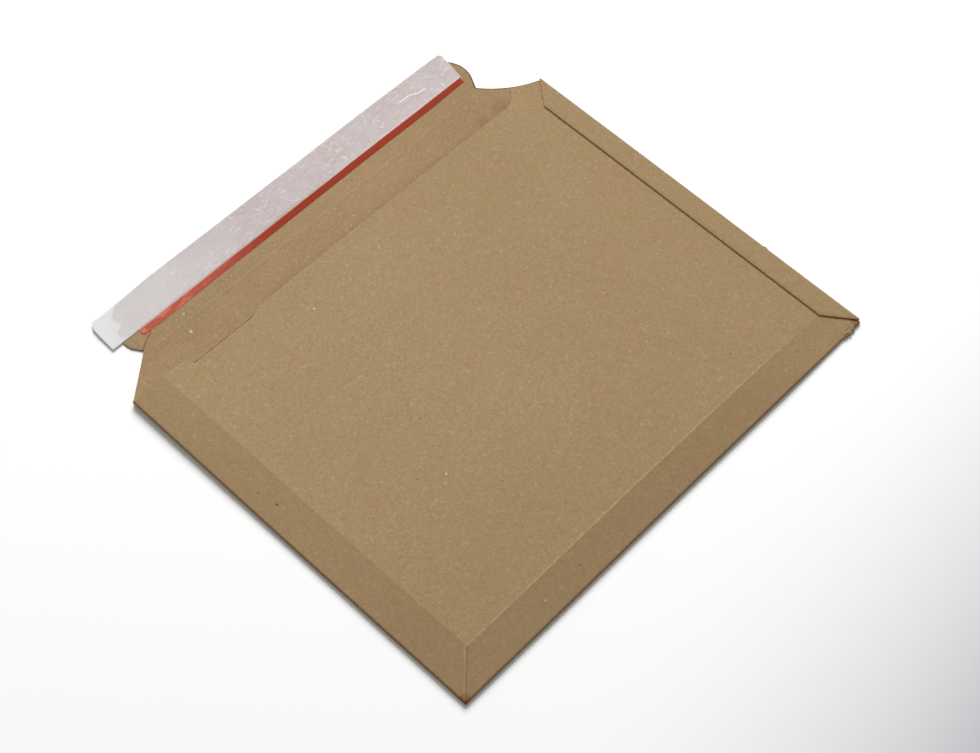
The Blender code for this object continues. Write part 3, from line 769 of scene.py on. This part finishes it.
def foldPanel(x, y):
    if x >= foldLeft - 0.000001:
        tighter = bottomRadius - (panelMid(x, foldY) - lowerMid) / 2
        shifted = y - tighter * max(0, 1 - (y - foldY) / swell["foldShiftRun"])
        return (x, shifted, panelMid(x, y) + crown(x, y) + panelRelief(x, y))
    turn = (foldLeft - x) / leftArc
    if turn < 1:
        place, half, depth = marks["nick"]
        nick = depth * smooth(1 - abs(y - place) / half)
        drawn = (1 - smooth((y - foldY) / marks["pinch"])) * bottomRadius * 0.9 * sin(pi * turn)
        side = foldLeft - (leftRadius - nick) * sin(pi * turn)
        return (side, y - drawn, hiddenMid + leftRadius * (1 + cos(pi * turn)))
    return (foldLeft + (turn - 1) * leftArc, y, hiddenMid)


def foldSeam(x, y):
    radius = (panelMid(sheet["width"], y) + board + sheet["seamGlue"] - lowerMid) / 2
    start = sheet["width"] - board / 2 - radius
    turn = (x - foldRight) / rightArc
    place, half, height = marks["nub"]
    nub = height * smooth(1 - abs(y - place) / half) * (0.8 + 0.4 * smooth((place - y) / half))
    if turn < 1:
        return (start + (radius + nub) * sin(pi * turn), y, lowerMid + radius * (1 - cos(pi * turn)))
    return (start - (turn - 1) * rightArc, y, lowerMid + 2 * radius)


def folded(x, y):
    # where a point of the flat sheet comes to lie
    if y < panelStart + 0.000001:
        point = Vector(foldPanel(x, foldY + panelStart - y))
    elif y < foldY + 0.000001:
        point = Vector(foldBottom(x, (foldY - y) / bottomArc))
    elif x > foldRight + 0.000001:
        point = Vector(foldSeam(x, y))
    else:
        point = Vector((x, y, lowerMid + openRelief(x, y)))
    point.z += lift(point.x, point.y)
    point.x += marks["sway"] * noise.noise(Vector((point.x * 9, point.y * 9, 1.3)))
    point.y += marks["sway"] * noise.noise(Vector((point.x * 9, point.y * 9, 8.8)))
    return point + planOrigin


def shoulderPoint(share, inset=0.0):
    corner = Vector((sheet["width"], sheet["depth"]))
    along = Vector((sheet["notchRight"], creaseY + sheet["notchRiseRight"])) - corner
    inward = Vector((-along.y, along.x)).normalized()
    return corner + along * share + inward * (4 * sheet["shoulderBow"] * share * (1 - share) + inset)


def mouthEdge():
    depth, pulledY = sheet["depth"], mouthY - sheet["lipPull"]
    hornFoot = Vector((sheet["width"] - sheet["hornFoot"], mouthY))
    hornBend = Vector((sheet["width"] - sheet["hornBend"], mouthY - sheet["hornDip"]))
    hornTop = shoulderPoint(sheet["hornShare"], sheet["shoulderStep"])
    points = [(foldLeft, depth), (sheet["wingPeak"], depth + sheet["wingBow"]), (sheet["wingWidth"], depth)]
    points += [(sheet["wingWidth"] + sheet["lipPull"] / 2, pulledY)]
    points += [(sheet["lipPullEnd"] - sheet["lipPullRun"], pulledY), (sheet["lipPullEnd"], mouthY)]
    for i in range(sheet["hornSteps"]):
        t = i / sheet["hornSteps"]
        point = hornFoot * (1 - t) ** 2 + hornBend * 2 * t * (1 - t) + hornTop * t ** 2
        points.append((point.x, point.y))
    for i in range(6):
        point = shoulderPoint(sheet["hornShare"] * (1 - i / 6), sheet["shoulderStep"])
        points.append((point.x, point.y))
    return points + [(panelEdgeX, depth - sheet["shoulderStep"])]


def arc(centre, width, height, start, turn):
    # points of a round or oval corner
    angles = [start + turn * i / sheet["earSteps"] for i in range(sheet["earSteps"] + 1)]
    return [(centre[0] + width * cos(a), centre[1] + height * sin(a)) for a in angles]


def leftEarEdge():
    # an oval from the free edge to the widest place, then a circle down to the notch
    far, radius = sheet["notchLeft"] - sheet["leftOverhang"], sheet["leftRadius"]
    level = creaseY + sheet["leftLevel"]
    notchTurn = atan2(level - creaseY - sheet["notchRiseLeft"], far + radius - sheet["notchLeft"])
    width, height = sheet["leftWidth"], sheet["flapDepth"] - sheet["leftLevel"]
    oval = arc((far + width, level), width, height, pi / 2, pi / 2)
    return oval + arc((far + radius, level), radius, radius, pi, notchTurn)[1:-1]


def rightEarEdge():
    radius, turn = sheet["earRadius"], sheet["earTurn"]
    centre = (sheet["notchRight"] + sheet["earOverhang"] - radius, flapEdgeY - radius)
    return arc(centre, radius, radius, pi / 2 - turn, turn)


def boardColumns():
    steps = sheet["foldSteps"]
    lines = spread(hiddenX(sheet["hiddenFlap"]), hiddenFar, 0.003)
    lines += [mix(hiddenFar, foldLeft, i / steps) for i in range(steps + 1)]
    lines += [sheet["edgeStep"], foldLeft + 0.0007] + spread(0.0035, 0.0205, 0.0028)
    lines += around(swell["sideCrease"], (-1.4, -0.8, -0.35, 0, 0.35, 0.8, 1.4))
    lines += spread(0.0265, 0.3125, 0.003) + spread(0.3135, foldRight - 0.001, 0.0007)
    lines += [panelEdgeX] + [mix(foldRight, seamFar, i / steps) for i in range(steps + 1)]
    return lines + spread(seamFar + 0.0008, seamX(seamEdgeX), 0.0028)


def boardRows():
    steps = sheet["foldSteps"]
    panel = [foldY + 0.0007, sideStart] + spread(0.0042, 0.0185, 0.0028)
    panel += around(swell["bottomCrease"], (-1.4, -0.8, -0.35, 0, 0.35, 0.8, 1.4))
    panel += spread(0.0245, 0.2405, 0.003) + spread(lipStart, 0.2615, 0.0016)
    lines = [flatY(y) for y in panel]
    lines += [mix(panelStart, foldY, i / steps) for i in range(steps + 1)]
    lines += [foldY + 0.0007, sideStart] + spread(0.0055, 0.2475, 0.0055)
    lines += around(marks["nub"][0], (-1.9, -1.3, -0.7, 0, 0.7, 1.3, 1.9))
    lines += around(marks["nick"][0], (-1, 0, 1))
    lines += [flatY(marks["nick"][0] + shift) for shift in (-0.0008, 0, 0.0008)]
    lines += spread(0.2495, 0.2695, 0.0022) + [sheet["depth"]]
    lines += around(creaseY, (-1.4, -1.1, -0.8, -0.5, -0.25, 0, 0.25, 0.5, 0.8, 1.1, 1.4))
    lines += [creaseY + sheet["notchRiseLeft"], creaseY + sheet["notchRiseRight"]]
    return lines + spread(0.277, flapEdgeY, 0.0028)


def cutBoard():
    # what the die takes away round the flat sheet
    depth, edgeStep = sheet["depth"], sheet["edgeStep"]
    hiddenEnd, seamEnd = hiddenX(sheet["hiddenFlap"]), seamX(seamEdgeX)
    lowPanel = lambda x, y: y < flatY(depth)
    cutAway(lambda x, y: y > foldY and x < edgeStep or y > panelStart and x < edgeStep)
    trim((edgeStep, foldY), (foldLeft, panelStart), lambda x, y: panelStart < y < foldY and x < foldLeft)
    cutAway(lambda x, y: flatY(sideStart) < y < panelStart and x < foldLeft)
    inHidden = lambda x, y: y < flatY(sideStart) and x < hiddenFar
    trim((hiddenFar, flatY(sideStart)), (hiddenEnd, flatY(sideStart + sheet["hiddenMitre"])), inHidden)
    trim((hiddenEnd, flatY(depth - sheet["hiddenMitre"])), (hiddenFar, flatY(depth)), inHidden)
    cutAway(lambda x, y: lowPanel(x, y) and x < foldLeft)
    cutAway(lambda x, y: y < foldY and x > panelEdgeX)
    nearCorner = lambda x, y: foldY < y < sideStart and x > panelEdgeX
    trim((panelEdgeX, foldY), (foldRight, sideStart), lambda x, y: nearCorner(x, y) and x < foldRight)
    cutAway(lambda x, y: x > foldRight and (y < sideStart or y > depth))
    inSeam = lambda x, y: x > seamFar
    trim((seamFar, sideStart), (seamEnd, sideStart + sheet["seamMitreLow"]), inSeam)
    trim((seamEnd, depth - sheet["seamMitreHigh"]), (seamFar, depth), inSeam)
    mouth = [(x, flatY(y)) for x, y in mouthEdge()]
    trimRow(mouth, lambda x, y: y < flatY(lipStart))
    cutAway(lambda x, y: lowPanel(x, y) and x > panelEdgeX)


def cutFlap():
    depth, left, right = sheet["depth"], sheet["notchLeft"], sheet["notchRight"]
    leftNotch = (left, creaseY + sheet["notchRiseLeft"])
    rightNotch = (right, creaseY + sheet["notchRiseRight"])
    trim(leftNotch, (sheet["edgeStep"], depth), lambda x, y: depth < y < leftNotch[1] and x < 0.06)
    shoulder = [shoulderPoint(i / sheet["shoulderSteps"]) for i in range(sheet["shoulderSteps"] + 1)]
    trimRow([tuple(p) for p in shoulder], lambda x, y: depth < y < rightNotch[1] and x > 0.28)
    leftEar, rightEar = leftEarEdge(), rightEarEdge()
    trimChain(leftEar + [leftNotch], lambda x, y: y > leftNotch[1] and x < 0.06)
    trimChain([rightNotch] + rightEar, lambda x, y: y > rightNotch[1] and x > 0.27)


def roughenCuts(mesh):
    # visible cut edges wander a little, as a worn die leaves them
    grid = bmesh.from_edit_mesh(mesh)
    for vert in grid.verts:
        x, y = vert.co.x, vert.co.y
        atLip = y < flatY(lipStart) and foldLeft + 0.001 < x < panelEdgeX - 0.001
        seen = y > 0.254 or atLip or x > seamFar + 0.001
        if vert.is_boundary and seen:
            vert.co.x += 0.00007 * noise.noise(Vector((x * 420, y * 420, 0.3)))
            vert.co.y += 0.00007 * noise.noise(Vector((x * 420, y * 420, 7.3)))
    bmesh.update_edit_mesh(mesh)


def makeBoard():
    low = (hiddenX(sheet["hiddenFlap"]), flatY(0.2625))
    piece = layPlane("envelope_board", low, (seamX(seamEdgeX), flapEdgeY))
    scoreGrid(boardColumns(), boardRows())
    cornerY = flatY(swell["bottomCrease"])
    inCorner = lambda x, y: foldLeft < x < swell["sideCrease"] and cornerY < y < panelStart
    slant = Vector((swell["bottomCrease"], swell["sideCrease"])).normalized()
    for gap in (-0.0019, -0.0013, -0.0008, -0.0004, 0, 0.0004, 0.0008, 0.0013, 0.0019):
        base = Vector((0, flatY(0))) + slant * gap
        score(base, slant, inCorner)
    cutBoard()
    cutFlap()
    clearSlivers()
    roughenCuts(piece.data)
    bpy.ops.object.mode_set(mode="OBJECT")
    markPlaces(piece.data)
    for vert in piece.data.vertices:
        vert.co = folded(vert.co.x, vert.co.y)
    lines = {"bottomCrease": swell["bottomCrease"] * 1000, "sideCrease": swell["sideCrease"] * 1000,
             "flapCrease": creaseY * 1000, "tear": marks["tear"][0] * 1000, "mouth": mouthY * 1000,
             "tips": [((0.4, 0.8), 3.6), ((1.4, flatY(0.002) * 1000), 4.4),
                      ((331.0, -2.0), 5.5), ((333.5, 1.5), 2.6)]}
    flatRow = lambda y: flatY(y / 1000) * 1000
    finishes = [kraftFinish(kraft, flatRow, lines), cutEdgeFinish(kraft, flatRow)]
    finishSheet(piece, finishes, board, sheet["softEdge"])
    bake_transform(piece)
    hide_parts("envelope_body", "closure_flap")
    print("board folded:", len(piece.data.polygons), "faces")


makeBoard()


# Red tear tape
stripEdge = 0.00003  # how far the edges of the strips are softened
tearTape = {
    "left": 0.0335, "right": 0.2985, "low": 0.2829, "high": 0.2887,
    "seat": 0.00002, "film": 0.00006, "waver": 0.00012, "lift": 0.000005,
    "slant": 0.0018, "slantStart": 0.0228, "slantRun": 0.19, "taper": 0.0009, "taperRun": 0.028,
    "brick": paint(152, 57, 35),
    "pink": paint(191, 97, 79),
    "shade": paint(130, 40, 26),
    "glint": paint(220, 134, 116),
    "cream": paint(232, 214, 198),
}


def stripSlant(x):
    # tape and liner were laid a little lower at their left end
    return -tearTape["slant"] * max(0, 1 - (x - tearTape["slantStart"]) / tearTape["slantRun"])


def tapeFinish(settings):
    tape = Finish("red_tear_tape", 0.7, 0.06)
    place = tape.place()
    x, y, side = tape.split(place)
    patches = tape.grain(tape.turned(place, 0, (0.25, 0.7, 1)), 0.5, 3.0, 0.6)
    threads = tape.grain(tape.turned(place, 0, (0.12, 2.4, 1)), 1.0, 2.0, 0.6)
    fade = tape.rise(x + (patches - 0.5) * 60.0, 150.0, 55.0)
    tape.start(settings, "brick")
    tape.over("pink", fade * 0.9)
    tape.over("shade", tape.rise(threads, 0.5, 0.75) * 0.5)
    tape.over("glint", tape.rise(patches, 0.5, 0.62) * (0.02 + 0.6 * fade))
    # painted highlight along the upper edge, where the liner's edge lies over it
    tape.over("glint", tape.rise(y, 287.2, 287.8) * 0.5)
    tape.over("cream", tape.rise(y, 287.6, 288.0) * 0.75)
    tape.send("Base Color", tape.colour)
    tape.send("Roughness", 0.6 + 0.2 * patches)
    tape.relief(threads + patches * 0.8, 0.00006, 0.5)
    return tape.material


def makeTape(settings):
    low, high = (settings["left"], settings["low"]), (settings["right"], settings["high"])
    piece = layPlane("red_tear_tape", low, high)
    scoreGrid(spread(low[0], high[0], 0.0022), spread(low[1], high[1], 0.001))
    radius = (high[1] - low[1]) / 2
    angles = [pi / 2 + pi * i / 10 for i in range(11)]
    roundEnd = [(low[0] + radius * (1 + cos(a) * 0.8), low[1] + radius * (1 + sin(a))) for a in angles]
    trimChain(roundEnd, lambda x, y: x < low[0] + radius)
    clearSlivers()
    bpy.ops.object.mode_set(mode="OBJECT")
    markPlaces(piece.data)
    base = board + settings["seat"] + settings["film"] / 2
    for vert in piece.data.vertices:
        x, y = vert.co.x, vert.co.y
        narrow = settings["taper"] * smooth((x - high[0] + settings["taperRun"]) / settings["taperRun"])
        vert.co.y += settings["waver"] * noise.noise(Vector((x * 45, 2.0, 0))) + stripSlant(x)
        vert.co.y += narrow * (high[1] - y) / (high[1] - low[1])
        vert.co.z = base + settings["lift"] * (1 + noise.noise(Vector((x * 160, y * 300, 4))))
        vert.co += planOrigin
    finishSheet(piece, [tapeFinish(settings)], settings["film"], stripEdge)
    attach(piece, "flap")
    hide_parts("tear_tape")
    print("tape laid")


makeTape(tearTape)


# Adhesive strip under the liner
glue = {
    "left": 0.0363, "right": 0.2977, "low": 0.2907, "high": 0.3055,
    "seat": 0.00002, "film": 0.00006,
    "cream": paint(222, 212, 188),
    "amber": paint(204, 184, 146),
}


def glueFinish(settings):
    film = Finish("adhesive_film", 0.3, 0.5)
    place = film.place()
    streaks = film.grain(film.turned(place, 0, (0.05, 1.2, 1)), 1.0, 3.0, 0.6)
    bubbles = film.node("ShaderNodeTexVoronoi", {"feature": "F1"}, {"Vector": place, "Scale": 0.6})
    film.start(settings, "cream")
    film.over("amber", film.rise(streaks, 0.4, 0.7) * 0.6)
    film.send("Base Color", film.colour)
    film.send("Roughness", 0.25 + 0.2 * streaks)
    film.relief(streaks + bubbles * 0.4, 0.00004, 0.5)
    return film.material


def makeGlue(settings):
    low, high = (settings["left"], settings["low"]), (settings["right"], settings["high"])
    piece = layPlane("adhesive_film", low, high)
    scoreGrid(spread(low[0], high[0], 0.004), spread(low[1], high[1], 0.0025))
    bpy.ops.object.mode_set(mode="OBJECT")
    markPlaces(piece.data)
    for vert in piece.data.vertices:
        edge = vert.co.y < low[1] + 0.0001 or vert.co.y > high[1] - 0.0001
        vert.co.y += (0.0002 if edge else 0) * noise.noise(Vector((vert.co.x * 90, vert.co.y * 50, 1)))
        vert.co.z = board + settings["seat"] + settings["film"] / 2
        vert.co += planOrigin
    finishSheet(piece, [glueFinish(settings)], settings["film"], stripEdge)
    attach(piece, "flap")
    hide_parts("adhesive_strip")
    print("adhesive laid")


makeGlue(glue)


# Release liner with its bent tail
liner = {
    "low": (0.0155, 0.286), "high": (0.3036, 0.3106), "tailFar": 0.0355,
    "paper": 0.00008, "seat": 0.00003,
    "lowEdge": [(0.0157, 0.2862), (0.0228, 0.2862), (0.0338, 0.2882), (0.2999, 0.2882)],
    "tailEnd": [(0.0193, 0.3082), (0.0170, 0.3045), (0.0162, 0.2980), (0.0157, 0.2862)],
    "highEdge": [(0.0181, 0.3082), (0.0338, 0.3082), (0.05, 0.3090), (0.062, 0.3097), (0.13, 0.3098),
                 (0.19, 0.3101), (0.235, 0.3104), (0.28, 0.3102), (0.3004, 0.3099)],
    "rightEnd": [(0.2999, 0.2882), (0.3034, 0.3072), (0.3028, 0.3088), (0.3018, 0.3096), (0.3004, 0.3099)],
    "kinkFoot": (0.0228, 0.2862), "kinkHead": (0.0338, 0.3082),
    "tailRise": 0.0005, "tailRun": 0.012, "hump": 0.0003, "humpWidth": 0.0028,
    "wrinkle": 0.00007, "edgeCurl": 0.0002, "through": 0.12, "slant": 1.8, "slantRun": 190.0,
    "grey": paint(200, 191, 188),
    "lilac": paint(193, 181, 182),
    "pink": paint(196, 168, 166),
    "plain": paint(220, 217, 215),
    "white": paint(242, 240, 240),
}
linerCrease = [(258.0, 300.0), (266.0, 299.6), (271.0, 297.2), (277.0, 296.8)]


def linerFinish(settings):
    paper = Finish("release_paper_sheet", 0.7, 0.08)
    place = paper.place()
    x, y, side = paper.split(place)
    foot = Vector(settings["kinkFoot"]) * 1000
    soft = paper.grain(place, 0.06, 2.0, 0.5)
    warp = paper.node("ShaderNodeTexNoise", None, {"Vector": place, "Scale": 0.35, "Detail": 2.0}, 1)
    moved = paper.node("ShaderNodeVectorMath", {"operation": "MULTIPLY_ADD"},
                       {0: warp, 1: (3, 3, 0), 2: place})
    web = paper.node("ShaderNodeTexVoronoi", {"feature": "DISTANCE_TO_EDGE"},
                     {"Vector": paper.turned(moved, -58, (0.5, 0.16, 1)), "Scale": 1.0})
    veins = paper.rise(web, 0.1, 0.0)
    scratch = paper.grain(paper.turned(place, 28, (0.2, 1.1, 1)), 1.0, 3.0, 0.65, 0.6)
    patch = paper.rise(paper.grain(place, 0.045, 2.0, 0.5), 0.44, 0.62)
    speckled = paper.grain(place, 0.8, 3.0, 0.65)
    scribble = curls(paper, place, 25, 5, 2.0).atLeast(curls(paper, place, 100, 23, 2.4))
    paleLine = curls(paper, place, 60, 37, 2.6).atLeast(curls(paper, place, 155, 51, 1.8))
    paper.start(settings, "grey")
    paper.over("lilac", paper.rise(soft, 0.4, 0.65) * 0.7)
    paper.over("pink", paper.rise(speckled, 0.5, 0.68) * 0.26)
    paper.over("pink", veins * patch * 0.45)
    paper.over("pink", paper.rise(scratch, 0.5, 0.68) * (0.2 + 0.45 * patch))
    paper.over("pink", scribble * 0.4)
    paper.over("white", paleLine * 0.34)
    paper.over("white", paper.rise(scratch, 0.46, 0.28) * 0.42)
    paper.over("plain", paper.rise(x, 140.0, 50.0) * 0.6)

    # the free tail is whiter; the grey ends in a rounded corner
    border = 29.6 - 4.8 * paper.rise(y, 296.0, 291.5) + 7.0 * paper.rise(y, 301.0, 310.0)
    free = paper.rise(border - x + (scratch - 0.5) * 1.2, -1.0, 1.8)
    paper.over("white", free)
    # painted highlight along the lower edge, over the shade of its rim
    fromEdge = y + settings["slant"] * (1.0 - (x - foot.x) / settings["slantRun"]).atLeast(0.0) - 288.2
    paper.over("white", paper.rise(fromEdge, 0.75, 0.2) * 0.9)
    lowStrip = paper.rise(fromEdge + (scratch - 0.5) * 1.5, 2.4, 1.0) * paper.rise(x, 75.0, 35.0)
    paper.over("white", lowStrip * 0.45)
    crease = paper.path(x, y, linerCrease, 0.7)
    paper.over("white", crease * 0.7)
    paper.send("Base Color", paper.colour)
    paper.send("Roughness", 0.56 + 0.2 * scratch)
    paper.relief(veins * 0.6 + scratch * 0.8 + crease * 1.2, 0.00008, 0.5)

    # thin paper: the free tail lets some light through
    through = paper.node("ShaderNodeBsdfTranslucent", sockets={"Color": settings["white"]})
    lit = Value(paper, paper.shader.outputs[0])
    both = paper.node("ShaderNodeMixShader", sockets={0: free * settings["through"], 1: lit, 2: through})
    paper.tree.links.new(both.socket, paper.tree.nodes["Material Output"].inputs["Surface"])
    return paper.material


def makeLiner(settings):
    low, high, tailFar = settings["low"], settings["high"], settings["tailFar"]
    piece = layPlane("release_liner_sheet", low, high)
    columns = spread(tailFar, high[0], 0.0025) + spread(low[0], tailFar, 0.0015)
    scoreGrid(columns, spread(low[1], high[1], 0.0018))
    foot, head = Vector(settings["kinkFoot"]), Vector(settings["kinkHead"])
    away = Vector((foot.y - head.y, head.x - foot.x)).normalized()
    for gap in (-0.0042, -0.0028, -0.0017, -0.0007, -0.00035, 0, 0.00035, 0.0007, 0.0017, 0.0028):
        score(foot + away * gap, away, lambda x, y: x < 0.045)
    trimRow(settings["lowEdge"], lambda x, y: y < 0.292)
    trimRow(list(reversed(settings["highEdge"])), lambda x, y: y > 0.304)
    trimChain(settings["rightEnd"], lambda x, y: x > 0.295)
    trimChain(settings["tailEnd"], lambda x, y: x < 0.022)
    clearSlivers()
    bpy.ops.object.mode_set(mode="OBJECT")
    markPlaces(piece.data)
    base = board + settings["seat"] + glue["film"] + settings["seat"] + settings["paper"] / 2
    for vert in piece.data.vertices:
        x, y = vert.co.x, vert.co.y
        beyond = (Vector((x, y)) - foot).dot(away)
        rise = settings["tailRise"] * (max(0, beyond) / settings["tailRun"]) ** 2
        wrinkle = settings["wrinkle"] * noise.noise(Vector((x * 140 + y * 60, y * 220, 6)))
        uneven = 0.6 + noise.noise(Vector((x * 25, 0, 3)))
        curl = settings["edgeCurl"] * smooth((y - 0.3065) / 0.004) * uneven
        acrossKink = 0.4 + 0.6 * smooth((y - foot.y) / 0.012)
        hump = settings["hump"] * bead(beyond, settings["humpWidth"]) * acrossKink
        lower = (1 - smooth((y - 0.2884) / 0.004)) * smooth((x - foot.x) / 0.011)
        vert.co.z = base + rise + hump + abs(wrinkle) + max(curl, 0)
        vert.co.y += stripSlant(x) * lower
        vert.co += planOrigin
    finishSheet(piece, [linerFinish(settings)], settings["paper"], stripEdge)
    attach(piece, "flap")
    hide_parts("release_liner")
    print("liner laid")


makeLiner(liner)
